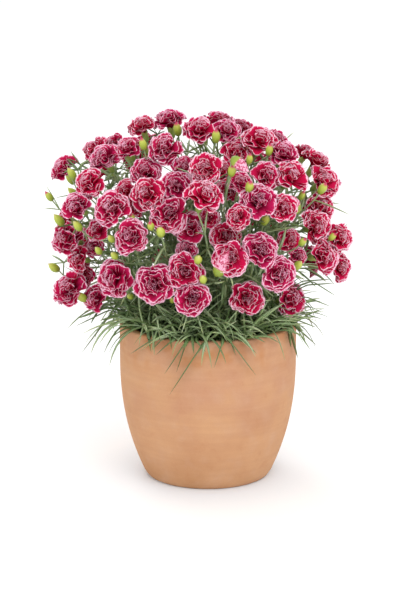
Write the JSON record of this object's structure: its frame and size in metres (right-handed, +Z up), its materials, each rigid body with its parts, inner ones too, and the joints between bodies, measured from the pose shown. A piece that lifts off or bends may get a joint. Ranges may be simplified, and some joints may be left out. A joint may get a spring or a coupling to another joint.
{
  "type": "potted dwarf carnation",
  "caption": "Dwarf carnation in full flower in a round, tapered terracotta pot: branching stems with narrow grey-green leaves, closed buds and a dome of double crimson blooms with pale edges.",
  "frame": {"origin": "middle of the underside of the pot's base, on the surface that it stands on", "axes": "+Z up along the pot's axis, -Y towards the front of the plant, +X to the viewer's right"},
  "size_m": [0.3053, 0.2655, 0.3691],
  "materials": {
    "terracotta": "matte",
    "potting_mix": "matte",
    "stems_and_leaves": "matte",
    "petals": "matte"
  },
  "bodies": {
    "root": {"pot": "terracotta", "soil": "potting_mix", "shoot_01": "stems_and_leaves", "shoot_02": "stems_and_leaves", "shoot_03": "stems_and_leaves", "shoot_04": "stems_and_leaves", "shoot_05": "stems_and_leaves", "shoot_06": "stems_and_leaves", "shoot_07": "stems_and_leaves", "shoot_08": "stems_and_leaves", "shoot_09": "stems_and_leaves", "shoot_10": "stems_and_leaves", "shoot_11": "stems_and_leaves", "shoot_12": "stems_and_leaves", "shoot_13": "stems_and_leaves", "shoot_14": "stems_and_leaves", "shoot_15": "stems_and_leaves", "blooms_01": "petals", "blooms_02": "petals", "blooms_03": "petals", "blooms_04": "petals", "blooms_05": "petals", "blooms_06": "petals", "blooms_07": "petals", "blooms_08": "petals", "blooms_09": "petals", "blooms_10": "petals", "blooms_11": "petals", "blooms_12": "petals", "blooms_13": "petals", "blooms_14": "petals", "blooms_15": "petals", "blooms_16": "petals", "blooms_17": "petals", "blooms_18": "petals", "blooms_19": "petals", "blooms_20": "petals", "blooms_21": "petals", "blooms_22": "petals", "blooms_23": "petals", "blooms_24": "petals", "blooms_25": "petals", "blooms_26": "petals", "blooms_27": "petals", "blooms_28": "petals", "blooms_29": "petals", "blooms_30": "petals", "blooms_31": "petals", "blooms_32": "petals", "blooms_33": "petals", "blooms_34": "petals", "blooms_35": "petals", "blooms_36": "petals", "blooms_37": "petals", "blooms_38": "petals", "blooms_39": "petals", "blooms_40": "petals", "blooms_41": "petals", "blooms_42": "petals", "blooms_43": "petals"}
  },
  "joints": []
}
